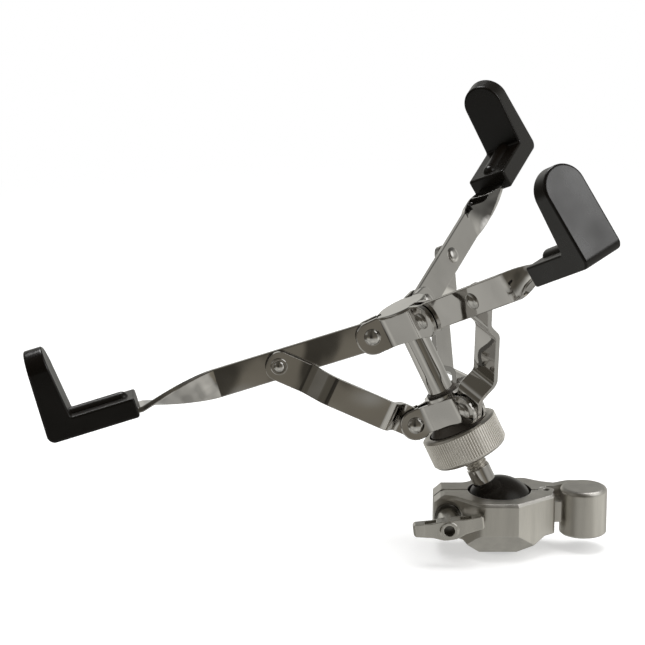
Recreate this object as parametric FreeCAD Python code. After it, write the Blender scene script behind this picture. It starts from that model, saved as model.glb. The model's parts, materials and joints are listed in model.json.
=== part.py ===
import FreeCAD, Part
import math
import os

os.makedirs("parts", exist_ok=True)
Vector = FreeCAD.Vector
Placement = FreeCAD.Placement
Rotation = FreeCAD.Rotation
x_axis = Vector(1, 0, 0)
y_axis = Vector(0, 1, 0)
z_axis = Vector(0, 0, 1)
nowhere = Vector(0, 0, 0)

# Clearances shared by every fit
cut_overrun = 3.0
press_clearance = 0.02
running_clearance = 0.05
sliding_gap = 0.3
seat_gap = 0.05
point_tolerance = 0.002

# Pose in the photograph, in degrees
basket_tilt = 25.4
tilt_heading = -5.0
basket_spin = 3.9
arm_angle = 8.5
wing_turn = 7.5

# Ball clamp, measured from the ball's centre
boss_gap = 3.2
boss_bottom = -11.4
boss_top = 14.8
boss_radius = 13.0
boss_top_round = 2.4
boss_foot_break = 0.6
tube_diameter = 19.05
tube_fit = 0.15
tube_depth = 19.0
clamp_top = 12.8
clamp_bottom = -18.8
split_gap = 1.6
top_edge_break = 1.3
front_depth = 26.5
chamfer_top = -5.4
front_left = -11.5
front_right = 9.3
slant_end_right = 30.0
slant_end_depth = 9.4
slant_corner_round = 3.0
front_shoulder_round = 9.0
lug_left = -36.2
lug_front_depth = 11.0
lug_rear_depth = 12.5
lug_bottom = -10.3
lug_turn = -26.5
lug_corner_width = 4.4
lug_corner_height = 3.8
lug_edge_round = 1.2
belly_left = -20.6
foot_left = -11.5
foot_right = 9.0
belly_right = 24.1
hinge_bottom = -9.1
rear_depth = 24.5
rear_top_depth = 20.5
rear_break_top = 8.8
rear_back_points = ((-22.0, 12.5), (-12.0, 20.0), (1.0, 24.5), (13.5, 21.3), (24.0, 14.6), (34.0, 11.6))
ball_diameter = 41.0
opening_radius = 17.5
opening_flare_depth = 2.6
drain_radius = 12.0
seat_sides = 6

# Hinge of the front jaw
pin_reach = 25.6
pin_diameter = 4.0
pin_recess = 0.7
knuckle_radius = 4.4
knuckle_gap = 0.4
tongue_bottom = -4.5
tongue_top = 7.5
tongue_gap = 0.3
web_cut_depth = 7.2
bridge_front_depth = 6.0
bridge_bottom = -7.4
saddle_run = 7.5

# Clamp bolt, washer and wing nut
bolt_reach = -28.8
bolt_height = 1.2
bolt_diameter = 6.0
bolt_end_depth = 30.5
bolt_head_width = 10.0
bolt_head_height = 4.0
lug_slot_clearance = 1.3
seat_radius = 8.6
washer_diameter = 14.6
washer_thickness = 2.0
wing_hub_length = 22.4
wing_hub_foot_radius = 6.1
wing_hub_front_radius = 5.3
wing_hub_break = 0.8
wing_back = 14.3
wing_front = 22.2
wing_end_front = 20.2
wing_reach = 19.4
wing_root = 3.5
wing_waist = 9.0
wing_root_half = 5.3
wing_waist_low = -3.3
wing_waist_high = 4.7
wing_end_low = -1.7
wing_end_high = 5.0
wing_sweep_round = 6.0
wing_end_round = 1.8
pocket_start = 6.4
pocket_end = 12.8
pocket_low = 15.6
pocket_high = 20.2
pocket_floor = 2.9

# Ball bore and the screw that holds the ball
ball_top_flat = 19.4
ball_bottom_flat = -18.2
spigot_diameter = 9.0
spigot_end = -11.0
counterbore_depth = -11.5
counterbore_diameter = 14.0
screw_head_diameter = 12.0
screw_head_height = 3.8
screw_head_break = 0.8
screw_diameter = 5.0
screw_end = -1.5

# Centre post
thread_diameter = 12.0
tube_end = 66.0
post_diameter = 14.0
post_end_break = 0.8
foot_diameter = 12.8
foot_top = 30.5
foot_break = 0.4

# Adjusting nut
nut_bottom = 36.7
nut_top = 54.4
nut_diameter = 42.0
nut_thread_top = 45.0
nut_counterbore_radius = 7.6
nut_cup_floor = 48.5
nut_cup_radius = 17.0
nut_foot_round = 2.6
nut_top_break = 1.0

# Sliding collar, its bush and thrust washer
collar_pivot_height = 65.5
collar_pivot_radius = 20.5
collar_low = 58.4
collar_high = 73.2
collar_rim = 75.2
collar_neck_radius = 10.5
collar_sheet = 2.0
collar_ear_gap = 5.0
collar_ear_radius = 8.4
collar_slot_top = 72.2
collar_bend_radius = 7.0
collar_boss_radius = 6.4
bush_top = 76.6
bush_flange_low = 50.0
bush_flange_high = 54.6
bush_flange_radius = 16.0
bush_neck_radius = 12.4
bush_wall_gap = 0.1
thrust_inner_radius = 8.0
thrust_outer_radius = 16.4

# Top hub
arm_pivot_height = 120.5
arm_pivot_radius = 21.0
hub_drop = 10.0
hub_rise = 6.8
roof_rise = 8.4
roof_round = 1.4
roof_radius = 14.6
roof_slot_start = 11.6
hub_sheet = 2.5
hub_ear_gap = 4.0
hub_ear_radius = 9.0
hub_ear_top = 8.5
hub_ear_corner = 8.0
hub_post_gap = 0.3
hub_bend_radius = 8.0
ear_lap = 3.0
ear_edge_break = 0.5

# Arms
strip_width = 16.0
strip_thickness = 3.0
strip_edge_break = 0.45
strut_pivot_reach = 53.0
twist_length = 42.0
twist_lead = 2.5
twist_sections = 10
twist_angle = -90.0
strip_end_reach = 166.0
arm_spacing = 120.0
facet_turn = arm_spacing / 2
bend_turn = facet_turn / 2
arm_azimuths = (("left", 3 * facet_turn), ("right", -facet_turn), ("back", facet_turn))

# Rubber grips
grip_inner_reach = 132.5
grip_outer_reach = 184.0
grip_width = 24.0
leg_low = -3.0
leg_high = 8.3
finger_top = 48.0
finger_foot_thickness = 16.0
finger_tip_thickness = 10.5
finger_draft = 1.0
grip_corner_round = 4.5
grip_crook_round = 1.5
grip_edge_round = 1.3
bead_radius = 4.0
bead_setback = 7.5
bead_lap = 6.0
bead_sink = 1.0
pocket_clearance = 0.05

# Struts
strut_width = 16.0
strut_thickness = 2.8
strut_first_radius = 9.0
strut_last_radius = 3.0
strut_end_reach = 6.8
strut_mid_offset = 11.0
strut_first_bend = 18.0
strut_first_rise = 11.0
strut_last_bend = 16.3
strut_last_fall = 5.2
strut_loose_radius = 4.6
strut_spacer = 1.4
spacer_radius = 5.4

# Rivets
rivet_diameter = 5.0
rivet_head_radius = 4.6
rivet_head_height = 2.3
dome_steps = 3
ring_radius = 4.6
ring_height = 0.9
ring_dish = 0.5
ring_lip = 1.2
ring_break = 0.35
small_dome_radius = 3.0
small_dome_height = 1.5

boss_reach = slant_end_right + boss_gap + boss_radius
ball_centre = Vector(-boss_reach, 0, -boss_bottom)
hub_low = arm_pivot_height - hub_drop
hub_high = arm_pivot_height + hub_rise
roof_top = arm_pivot_height + roof_rise
twist_end = grip_inner_reach - twist_lead
twist_start = twist_end - twist_length
bead_start = grip_inner_reach + bead_setback
half_gap = split_gap / 2
ball_radius = ball_diameter / 2
socket_radius = ball_radius + sliding_gap
bolt_radius = bolt_diameter / 2
pin_radius = pin_diameter / 2
thread_radius = thread_diameter / 2
post_radius = post_diameter / 2
nut_radius = nut_diameter / 2
rivet_radius = rivet_diameter / 2
half_strip = strip_width / 2
half_thick = strip_thickness / 2
half_grip = grip_width / 2


# Shared construction

def cylinder(radius, start, end):
    """Upright cylinder between two heights on the Z axis."""
    return Part.makeCylinder(radius, end - start, Vector(0, 0, start), z_axis)


def block(low, high):
    """Box between two opposite corners."""
    size = high - low
    return Part.makeBox(size.x, size.y, size.z, low)


def revolved(profile):
    """Full turn about the Z axis of a closed profile of radius and height pairs."""
    points = [Vector(radius, 0, height) for radius, height in profile]
    face = Part.Face(Part.makePolygon(points + points[:1]))
    return face.revolve(nowhere, z_axis, 360)


def rounded_wire(corners, radii):
    """Closed outline in the XY plane with each corner rounded by its own radius."""
    points = [Vector(across, along, 0) for across, along in corners]
    edges = []
    joints = []
    for index, here in enumerate(points):
        before = points[index - 1]
        after = points[(index + 1) % len(points)]
        to_before = (before - here).normalize()
        to_after = (after - here).normalize()
        half_angle = to_before.getAngle(to_after) / 2
        radius = radii[index]
        if radius > 0:
            reach = radius / math.tan(half_angle)
            bisector = (to_before + to_after).normalize()
            middle = here + bisector * (radius / math.sin(half_angle) - radius)
            first = here + to_before * reach
            last = here + to_after * reach
            joints.append((first, last, Part.Arc(first, middle, last).toShape()))
        else:
            joints.append((here, here, None))
    for index, joint in enumerate(joints):
        following = joints[(index + 1) % len(joints)]
        if joint[2] is not None:
            edges.append(joint[2])
        if not joint[1].isEqual(following[0], point_tolerance):
            edges.append(Part.makeLine(joint[1], following[0]))
    return Part.Wire(edges)


def extruded(corners, radii, start, end):
    """Rounded outline raised from one height to another."""
    wire = rounded_wire(corners, radii)
    wire.translate(Vector(0, 0, start))
    return Part.Face(wire).extrude(Vector(0, 0, end - start))


def seen_from_front(solid):
    """Turn an upright extrusion so that its outline lies in XZ and its depth runs to -Y."""
    return placed(solid, Placement(nowhere, Rotation(x_axis, 90)))


def seen_from_side(solid):
    """Turn an upright extrusion so that its outline lies in YZ and its depth runs to +X."""
    return placed(solid, Placement(nowhere, Rotation(y_axis, z_axis, x_axis, "XYZ")))


def placed(shape, placement):
    """Moved copy of a shape, with the move worked into its geometry."""
    return shape.transformed(placement.toMatrix(), True)


def fused(solids):
    """One solid made of several, without seams on shared planes."""
    return solids[0].multiFuse(solids[1:]).removeSplitter()


def strip_outline(line, thickness, bend_radii):
    """Outline of a bent strip that follows a line of corners, with one inside radius for each corner."""
    points = [Vector(across, along, 0) for across, along in line]
    count = len(points)
    left = []
    right = []
    left_radii = []
    right_radii = []
    for index, (here, bend_radius) in enumerate(zip(points, bend_radii)):
        ahead = points[min(index + 1, count - 1)] - points[min(index, count - 2)]
        behind = points[max(index, 1)] - points[max(index - 1, 0)]
        ahead.normalize()
        behind.normalize()
        side = z_axis.cross(ahead) + z_axis.cross(behind)
        side.normalize()
        mitre = thickness / 2 / side.dot(z_axis.cross(ahead))
        turn = behind.cross(ahead).z
        inside = bend_radius if abs(turn) > seat_gap else 0
        outside = bend_radius + thickness if abs(turn) > seat_gap else 0
        left.append(here + side * mitre)
        right.append(here - side * mitre)
        left_radii.append(inside if turn > 0 else outside)
        right_radii.append(outside if turn > 0 else inside)
    corners = [(point.x, point.y) for point in left + right[::-1]]
    return corners, left_radii + right_radii[::-1]


def edges_where(shape, test):
    """Edges of a shape whose middle point passes a test."""
    found = []
    for edge in shape.Edges:
        middle = (edge.FirstParameter + edge.LastParameter) / 2
        if test(edge.valueAt(middle)):
            found.append(edge)
    return found


# Frames of the moving sub-assemblies

def basket_frame():
    """Frame of the post: the ball's centre, with Z along the post as it leans in the photograph."""
    lean = Rotation(z_axis, tilt_heading).multiply(Rotation(y_axis, -basket_tilt))
    turn = lean.multiply(Rotation(z_axis, basket_spin - tilt_heading))
    return Placement(ball_centre, turn)


def arm_frame(azimuth):
    """Frame of one arm at its hub pivot: X along the strip, Y its face normal, Z its upper edge."""
    around = Placement(nowhere, Rotation(z_axis, azimuth))
    pivot = Placement(Vector(arm_pivot_radius, 0, arm_pivot_height), Rotation(y_axis, -arm_angle))
    return basket_frame().multiply(around).multiply(pivot)


def strut_run():
    """Strut vector in the arm's upright plane, from its arm pivot to its collar pivot at rest."""
    swing = math.radians(arm_angle)
    reach = arm_pivot_radius + strut_pivot_reach * math.cos(swing)
    height = arm_pivot_height + strut_pivot_reach * math.sin(swing)
    return Vector(collar_pivot_radius - reach, 0, collar_pivot_height - height)


def strut_frame(azimuth):
    """Frame of one strut at its arm pivot: X down the strut, Y the arm's face normal."""
    run = strut_run()
    swing = math.degrees(math.atan2(run.z, run.x)) - arm_angle
    pivot = Placement(Vector(strut_pivot_reach, 0, 0), Rotation(y_axis, -swing))
    return arm_frame(azimuth).multiply(pivot)


# Ball clamp

def clamp_front_view():
    """Outline shared by both jaws as seen from the front, as a deep solid."""
    corners = ((lug_left, lug_bottom), (belly_left, lug_bottom), (foot_left, clamp_bottom),
               (foot_right, clamp_bottom), (belly_right, hinge_bottom), (boss_reach, hinge_bottom),
               (boss_reach, clamp_top), (lug_left + lug_corner_width, clamp_top),
               (lug_left, clamp_top - lug_corner_height))
    radii = (lug_edge_round, lug_edge_round, 0, 0, lug_edge_round, 0, 0, 0, 0)
    return seen_from_front(extruded(corners, radii, -boss_reach, boss_reach))


def clamp_side_view():
    """Outline shared by both jaws as seen from the side, as a long solid."""
    front_foot = -front_depth + chamfer_top - clamp_bottom
    rear_foot = rear_depth - chamfer_top + clamp_bottom
    corners = ((front_foot, clamp_bottom), (rear_foot, clamp_bottom), (rear_depth, chamfer_top),
               (rear_depth, rear_break_top), (rear_top_depth, clamp_top), (-front_depth, clamp_top),
               (-front_depth, chamfer_top))
    return seen_from_side(extruded(corners, (0,) * len(corners), -boss_reach, boss_reach))


def ball_socket():
    """Space for the ball: a seat turned as a cylinder between cones, flared at the top and open below."""
    step = math.pi / seat_sides
    corner = socket_radius / math.cos(step / 2)
    turns = [step * (index + 1 / 2) for index in range(-seat_sides // 2, seat_sides // 2)]
    ring = [(corner * math.cos(turn), corner * math.sin(turn)) for turn in turns]
    seat = revolved([(0, ring[0][1])] + ring + [(0, ring[-1][1])])
    flare_low = clamp_top - opening_flare_depth
    rim = math.sqrt(socket_radius ** 2 - flare_low ** 2)
    flare = Part.makeCone(rim, opening_radius, opening_flare_depth, Vector(0, 0, flare_low))
    mouth = cylinder(opening_radius, clamp_top, clamp_top + cut_overrun)
    drain = cylinder(drain_radius, clamp_bottom - cut_overrun, 0)
    return seat.multiFuse([flare, mouth, drain])


def along_bolt(radius, front, rear):
    """Cylinder round the bolt's line between two depths."""
    base = Vector(bolt_reach, front, bolt_height)
    return Part.makeCylinder(radius, rear - front, base, y_axis)


def at_pin(solid):
    """Upright solid moved onto the hinge pin's line."""
    return placed(solid, Placement(Vector(pin_reach, 0, 0), Rotation()))


def clamp_frame():
    """Frame of the ball clamp, at the ball's centre."""
    return Placement(ball_centre, Rotation())


def bridge_saddle(start):
    """Space under the bridge's top, which slopes up from the jaws until it is flush with the boss."""
    front = ((start, tongue_top), (boss_reach, tongue_top), (boss_reach, boss_top),
             (start + saddle_run, boss_top), (start, clamp_top))
    side = ((0, tongue_top), (boss_radius, tongue_top), (boss_radius, clamp_top),
            (boss_radius - boss_top_round, boss_top), (0, boss_top))
    sloped = seen_from_front(extruded(front, (0,) * len(front), -boss_reach, boss_reach))
    return sloped.common(seen_from_side(extruded(side, (0,) * len(side), -boss_reach, boss_reach)))


def make_clamp_body():
    """Rear jaw with its lug, hinge tongue, bridge and the closed boss that takes the stand's tube."""
    start = Vector(lug_left, half_gap, 0)
    lug_back = Vector(lug_left, lug_rear_depth, 0)
    back = [Vector(across, depth, 0) for across, depth in rear_back_points]
    end_back = Vector(boss_reach, boss_radius - lug_edge_round, 0)
    end_front = Vector(boss_reach, half_gap, 0)
    curve = Part.BSplineCurve()
    curve.interpolate(back + [end_back], InitialTangent=x_axis, FinalTangent=x_axis)
    edges = [Part.makeLine(start, lug_back), Part.makeLine(lug_back, back[0]), curve.toShape(),
             Part.makeLine(end_back, end_front), Part.makeLine(end_front, start)]
    plan = Part.Face(Part.Wire(edges))
    plan.translate(Vector(0, 0, clamp_bottom))
    raised = plan.extrude(Vector(0, 0, boss_top - clamp_bottom))
    clear_radius = knuckle_radius + knuckle_gap
    saddle = raised.common(bridge_saddle(pin_reach + clear_radius))
    jaw = fused([raised.common(clamp_front_view()).common(clamp_side_view()), saddle])
    low_bridge = block(Vector(pin_reach + knuckle_radius, 0, clamp_bottom),
                       Vector(boss_reach, boss_reach, bridge_bottom))
    front_bridge = block(Vector(pin_reach, 0, clamp_bottom),
                         Vector(boss_reach, bridge_front_depth, boss_top + cut_overrun))
    jaw = jaw.cut(low_bridge).cut(front_bridge)
    jaw = jaw.cut(at_pin(cylinder(clear_radius, clamp_bottom, clamp_top + cut_overrun)))
    tongue = at_pin(cylinder(knuckle_radius, tongue_bottom, tongue_top))
    web = block(Vector(pin_reach, -knuckle_radius, tongue_bottom),
                Vector(boss_reach, bridge_front_depth + knuckle_gap, tongue_top))
    boss = cylinder(boss_radius, boss_bottom, boss_top)
    boss = boss.makeFillet(boss_top_round, edges_where(boss, lambda p: p.z > boss_top - seat_gap))
    boss = boss.makeChamfer(boss_foot_break, edges_where(boss, lambda p: p.z < boss_bottom + seat_gap))
    boss = placed(boss, Placement(Vector(boss_reach, 0, 0), Rotation()))
    rest = block(Vector(pin_reach - clear_radius, half_gap, tongue_bottom),
                 Vector(pin_reach, bridge_front_depth + knuckle_gap, tongue_top))
    body = fused([jaw, tongue, web, rest, boss])
    bore_radius = tube_diameter / 2 + tube_fit / 2
    bore = cylinder(bore_radius, boss_bottom - cut_overrun, boss_bottom + tube_depth)
    tube = placed(bore, Placement(Vector(boss_reach, 0, 0), Rotation()))
    pin_hole = at_pin(cylinder(pin_radius + press_clearance, clamp_bottom, clamp_top))
    bolt_hole = along_bolt(bolt_radius + press_clearance, 0, lug_rear_depth + cut_overrun)
    body = body.cut(ball_socket()).cut(tube).cut(pin_hole).cut(bolt_hole)
    return body


def make_front_jaw():
    """Hinged front jaw: half of an octagon with a lug, a washer seat and two hinge knuckles."""
    corners = ((lug_left, -half_gap), (lug_left, -lug_front_depth), (lug_turn, -lug_front_depth),
               (front_left, -front_depth), (front_right, -front_depth),
               (slant_end_right, -slant_end_depth), (slant_end_right, -half_gap))
    radii = (0, lug_edge_round, front_shoulder_round, front_shoulder_round, 0, slant_corner_round, 0)
    jaw = extruded(corners, radii, clamp_bottom, clamp_top)
    jaw = jaw.common(clamp_front_view()).common(clamp_side_view())
    top = edges_where(jaw, lambda p: p.z > clamp_top - seat_gap and p.y < -half_gap - seat_gap)
    jaw = jaw.makeChamfer(top_edge_break, top)
    knuckle = at_pin(cylinder(knuckle_radius, hinge_bottom, clamp_top))
    jaw = fused([jaw, knuckle])
    slot = cylinder(knuckle_radius + knuckle_gap, tongue_bottom - tongue_gap, tongue_top + tongue_gap)
    jaw = jaw.cut(at_pin(slot))
    side_slot = block(Vector(pin_reach, -web_cut_depth, tongue_bottom - tongue_gap),
                      Vector(boss_reach, knuckle_radius, tongue_top + tongue_gap))
    pin_hole = at_pin(cylinder(pin_radius + running_clearance, clamp_bottom, clamp_top + cut_overrun))
    bolt_hole = along_bolt(bolt_radius + lug_slot_clearance, -front_depth - cut_overrun, 0)
    seat = along_bolt(seat_radius, -front_depth - cut_overrun, -lug_front_depth)
    return jaw.cut(side_slot).cut(ball_socket()).cut(pin_hole).cut(bolt_hole).cut(seat)


def make_hinge_pin():
    """Plain pin through the knuckles and the tongue, set a little below the top face."""
    pin = cylinder(pin_radius, hinge_bottom + pin_recess, clamp_top - pin_recess)
    return at_pin(pin.makeChamfer(pin_recess / 2, edges_where(pin, lambda p: abs(p.z) > tongue_top)))


def make_clamp_bolt():
    """Hexagon bolt through both lugs, with its head behind the rear lug."""
    shank = cylinder(bolt_radius, -bolt_end_depth, lug_rear_depth + seat_gap)
    corner = bolt_head_width / math.sqrt(3)
    head_low = lug_rear_depth + seat_gap
    turns = [math.radians(60 * step) for step in range(6)]
    ring = [(corner * math.cos(turn), corner * math.sin(turn)) for turn in turns]
    head = extruded(ring, (0,) * len(ring), head_low, head_low + bolt_head_height)
    dome = Part.makeCone(corner + bolt_head_height, bolt_head_width / 2, bolt_head_height,
                         Vector(0, 0, head_low))
    bolt = fused([shank, head.common(dome)])
    turn = Rotation(x_axis, -90)
    return placed(bolt, Placement(Vector(bolt_reach, 0, bolt_height), turn))


def bolt_frame(depth, turn):
    """Frame on the bolt's line with Z toward the front, at a depth in front of the split."""
    facing = Rotation(x_axis, 90).multiply(Rotation(z_axis, turn))
    return Placement(Vector(bolt_reach, -depth, bolt_height), facing)


def make_wing_washer():
    """Flat washer between the front lug and the wing nut."""
    low = lug_front_depth + seat_gap
    ring = cylinder(washer_diameter / 2, 0, washer_thickness)
    ring = ring.makeChamfer(sliding_gap, edges_where(ring, lambda p: p.z > washer_thickness - seat_gap))
    ring = ring.cut(cylinder(bolt_radius + running_clearance, -cut_overrun, cut_overrun))
    return placed(ring, bolt_frame(low, 0))


def wing_outline():
    """Wings as seen from the front: a waisted bar with rounded ends that rise a little."""
    right = ((wing_root, -wing_root_half), (wing_waist, wing_waist_low), (wing_reach, wing_end_low),
             (wing_reach, wing_end_high), (wing_waist, wing_waist_high), (wing_root, wing_root_half))
    left = [(-across, up) for across, up in reversed(right)]
    rounds = (wing_sweep_round, wing_sweep_round, wing_end_round, wing_end_round, wing_sweep_round, 0)
    return right + tuple(left), rounds + rounds[::-1]


def make_wing_nut():
    """Wing nut with a long hub, two swept wings and a shallow pocket on each wing's upper face."""
    corners, rounds = wing_outline()
    wings = extruded(corners, rounds, wing_back, wing_front)
    plan = ((-wing_reach, wing_back), (wing_reach, wing_back), (wing_reach, wing_end_front),
            (0, wing_front), (-wing_reach, wing_end_front))
    plan_rounds = (0, 0, wing_end_round, 0, wing_end_round)
    wings = wings.common(seen_from_front(extruded(plan, plan_rounds, -wing_reach, wing_reach)))
    pocket = block(Vector(pocket_start, pocket_floor, pocket_low),
                   Vector(pocket_end, front_depth, pocket_high))
    wings = wings.cut(pocket).cut(pocket.mirror(nowhere, x_axis))
    hub = Part.makeCone(wing_hub_foot_radius, wing_hub_front_radius, wing_hub_length)
    hub = hub.makeChamfer(wing_hub_break, edges_where(hub, lambda p: p.z > wing_hub_length - seat_gap))
    nut = fused([hub, wings])
    bore = cylinder(bolt_radius + running_clearance, -cut_overrun, wing_hub_length + cut_overrun)
    depth = lug_front_depth + washer_thickness + seat_gap + seat_gap
    return placed(nut.cut(bore), bolt_frame(depth, wing_turn))


def make_ball():
    """Resin ball with a bore for the post and a counterbore for its screw."""
    ball = Part.makeSphere(ball_radius)
    keep = cylinder(ball_radius + cut_overrun, ball_bottom_flat, ball_top_flat)
    bore = cylinder(spigot_diameter / 2 + running_clearance, -ball_radius, ball_radius)
    sink = cylinder(counterbore_diameter / 2, -ball_radius, counterbore_depth)
    return ball.common(keep).cut(bore).cut(sink)


def make_ball_screw():
    """Cap screw that holds the post's spigot in the ball."""
    top = counterbore_depth - running_clearance
    low = top - screw_head_height
    head = cylinder(screw_head_diameter / 2, low, top)
    head = head.makeChamfer(screw_head_break, edges_where(head, lambda p: p.z < low + seat_gap))
    shank = cylinder(screw_diameter / 2, top - seat_gap, screw_end)
    socket = cylinder(screw_diameter / 2, low - cut_overrun, low + screw_head_height / 2)
    return fused([head, shank]).cut(socket)


# Post, nut and collar, built on the post's line

def make_centre_post():
    """Post with a spigot in the ball, a slim threaded length and a thicker plain length to the hub."""
    spigot_radius = spigot_diameter / 2
    foot_radius = foot_diameter / 2
    shoulder = ball_top_flat + running_clearance
    profile = ((0, spigot_end), (spigot_radius, spigot_end), (spigot_radius, shoulder),
               (foot_radius, shoulder), (foot_radius, foot_top - foot_break), (thread_radius, foot_top),
               (thread_radius, tube_end), (post_radius - post_end_break, tube_end),
               (post_radius, tube_end + post_end_break), (post_radius, hub_high), (0, hub_high))
    tapped_radius = screw_diameter / 2 + press_clearance
    tapped = cylinder(tapped_radius, spigot_end - cut_overrun, screw_end + cut_overrun)
    return revolved(profile).cut(tapped)


def make_adjusting_nut():
    """Round nut with a threaded foot and a wide cup that carries the collar's bush."""
    bore = thread_radius + running_clearance
    profile = ((bore, nut_bottom), (nut_radius, nut_bottom), (nut_radius, nut_top),
               (nut_cup_radius, nut_top), (nut_cup_radius, nut_cup_floor),
               (nut_counterbore_radius, nut_cup_floor), (nut_counterbore_radius, nut_thread_top),
               (bore, nut_thread_top))
    nut = revolved(profile)
    outer = nut_radius - seat_gap
    low = edges_where(nut, lambda p: p.z < nut_bottom + seat_gap and math.hypot(p.x, p.y) > outer)
    nut = nut.makeFillet(nut_foot_round, low)
    high = edges_where(nut, lambda p: p.z > nut_top - seat_gap and math.hypot(p.x, p.y) > outer)
    return nut.makeChamfer(nut_top_break, high)


def ear_plate(outline, radii, thickness, offset, azimuth):
    """Flat ear parallel to an arm, set off to one side of the arm's plane, with its outer edge broken."""
    plate = seen_from_front(extruded(outline, radii, -offset - thickness / 2, -offset + thickness / 2))
    outer_side = abs(offset) + thickness / 2 - seat_gap
    plate = plate.makeChamfer(ear_edge_break, edges_where(plate, lambda p: abs(p.y) > outer_side))
    return placed(plate, Placement(nowhere, Rotation(z_axis, azimuth)))


def facet_bend(distance, offset):
    """Reach along an arm at which its ear bends into the facet between two arms."""
    return (distance - offset * math.sin(math.radians(facet_turn))) / math.cos(math.radians(facet_turn))


def bend_run(bend_radius, thickness):
    """Length that the bend from an ear into a facet takes up on each side of its corner."""
    return (bend_radius + thickness) * math.tan(math.radians(bend_turn / 2))


def facet_strip(distance, offset, thickness, bend_radius, low, high, azimuth):
    """Bent sheet from one arm's ear across a flat facet to the next arm's ear."""
    bend_reach = facet_bend(distance, offset)
    lap = bend_reach + ear_lap + bend_run(bend_radius, thickness)
    spun = Rotation(z_axis, arm_spacing)
    near = [Vector(reach, offset, 0) for reach in (lap, bend_reach)]
    far = [spun.multVec(Vector(reach, -offset, 0)) for reach in (bend_reach, lap)]
    line = [(point.x, point.y) for point in near + far]
    corners, radii = strip_outline(line, thickness, (0, bend_radius, bend_radius, 0))
    return placed(extruded(corners, radii, low, high), Placement(nowhere, Rotation(z_axis, azimuth)))


def make_top_hub():
    """Stamped hub: a rounded roof, three facets and six ears that carry the arms."""
    distance = post_radius + hub_post_gap + hub_sheet / 2
    offset = hub_ear_gap / 2 + hub_sheet / 2
    start = facet_bend(distance, offset) + bend_run(hub_bend_radius, hub_sheet)
    tip = arm_pivot_radius + hub_ear_radius
    top = arm_pivot_height + hub_ear_top
    outline = ((start, hub_low), (tip, hub_low), (tip, top), (start, top))
    ear_radii = (0, hub_ear_radius - seat_gap, hub_ear_corner, 0)
    facet_top = hub_high + hub_sheet / 2
    roof = cylinder(roof_radius, hub_high, roof_top)
    roof = roof.makeFillet(roof_round, edges_where(roof, lambda p: p.z > roof_top - seat_gap))
    solids = [roof]
    for name, azimuth in arm_azimuths:
        for side in (-offset, offset):
            solids.append(ear_plate(outline, ear_radii, hub_sheet, side, azimuth))
        solids.append(facet_strip(distance, offset, hub_sheet, hub_bend_radius,
                                  hub_low, facet_top, azimuth))
    hub = fused(solids)
    rivet_hole = cylinder(rivet_radius + press_clearance, -hub_ear_radius, hub_ear_radius)
    for name, azimuth in arm_azimuths:
        turn = Placement(nowhere, Rotation(z_axis, azimuth))
        slot = block(Vector(roof_slot_start, -hub_ear_gap / 2, hub_low - cut_overrun),
                     Vector(boss_reach, hub_ear_gap / 2, roof_top + cut_overrun))
        across = Placement(Vector(arm_pivot_radius, 0, arm_pivot_height), Rotation(x_axis, 90))
        hub = hub.cut(placed(slot, turn)).cut(placed(rivet_hole, turn.multiply(across)))
    return hub


def make_slide_collar():
    """Stamped collar: a round neck, three facets and six ears that carry the struts."""
    distance = collar_neck_radius - collar_sheet / 2
    offset = collar_ear_gap / 2 + collar_sheet / 2
    start = facet_bend(distance, offset) + bend_run(collar_bend_radius, collar_sheet)
    tip = collar_pivot_radius + collar_ear_radius
    bottom = collar_pivot_height - collar_ear_radius
    top = collar_pivot_height + collar_ear_radius
    outline = ((start, bottom), (tip, bottom), (tip, top), (start, top))
    round_end = collar_ear_radius - seat_gap
    ear_radii = (ear_lap, round_end, round_end, 0)
    neck = cylinder(collar_neck_radius, collar_low, collar_rim)
    solids = []
    for name, azimuth in arm_azimuths:
        for side in (-offset, offset):
            solids.append(ear_plate(outline, ear_radii, collar_sheet, side, azimuth))
        solids.append(facet_strip(distance, offset, collar_sheet, collar_bend_radius,
                                  collar_low, collar_high, azimuth))
    collar = fused([neck] + solids)
    bore = collar_neck_radius - collar_sheet
    collar = collar.cut(cylinder(bore, collar_low - cut_overrun, collar_rim + cut_overrun))
    rivet_hole = cylinder(rivet_radius + press_clearance, -collar_ear_radius, collar_ear_radius)
    for name, azimuth in arm_azimuths:
        turn = Placement(nowhere, Rotation(z_axis, azimuth))
        slot = block(Vector(0, -collar_ear_gap / 2, collar_low - cut_overrun),
                     Vector(boss_reach, collar_ear_gap / 2, collar_slot_top))
        across = Placement(Vector(collar_pivot_radius, 0, collar_pivot_height), Rotation(x_axis, 90))
        collar = collar.cut(placed(slot, turn))
        near = strut_thickness / 2 + sliding_gap
        far = collar_ear_gap / 2 + seat_gap
        boss = cylinder(collar_boss_radius, near, far)
        bosses = [placed(solid, turn.multiply(across)) for solid in (boss, boss.mirror(nowhere, z_axis))]
        collar = fused([collar] + bosses)
        collar = collar.cut(placed(rivet_hole, turn.multiply(across)))
    return collar


def make_collar_bush():
    """Black plastic bush that lines the collar and stands on the nut with its flange."""
    bore = post_radius + running_clearance
    sleeve = collar_neck_radius - collar_sheet - bush_wall_gap
    neck_top = collar_low - seat_gap
    profile = ((bore, bush_flange_low), (bush_flange_radius, bush_flange_low),
               (bush_flange_radius, bush_flange_high), (bush_neck_radius, neck_top),
               (sleeve, neck_top), (sleeve, bush_top), (bore, bush_top))
    return revolved(profile)


def make_thrust_washer():
    """Flat ring between the nut's cup and the bush."""
    low = nut_cup_floor + seat_gap
    high = bush_flange_low - seat_gap
    profile = ((thrust_inner_radius, low), (thrust_outer_radius, low),
               (thrust_outer_radius, high), (thrust_inner_radius, high))
    return revolved(profile)


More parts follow.
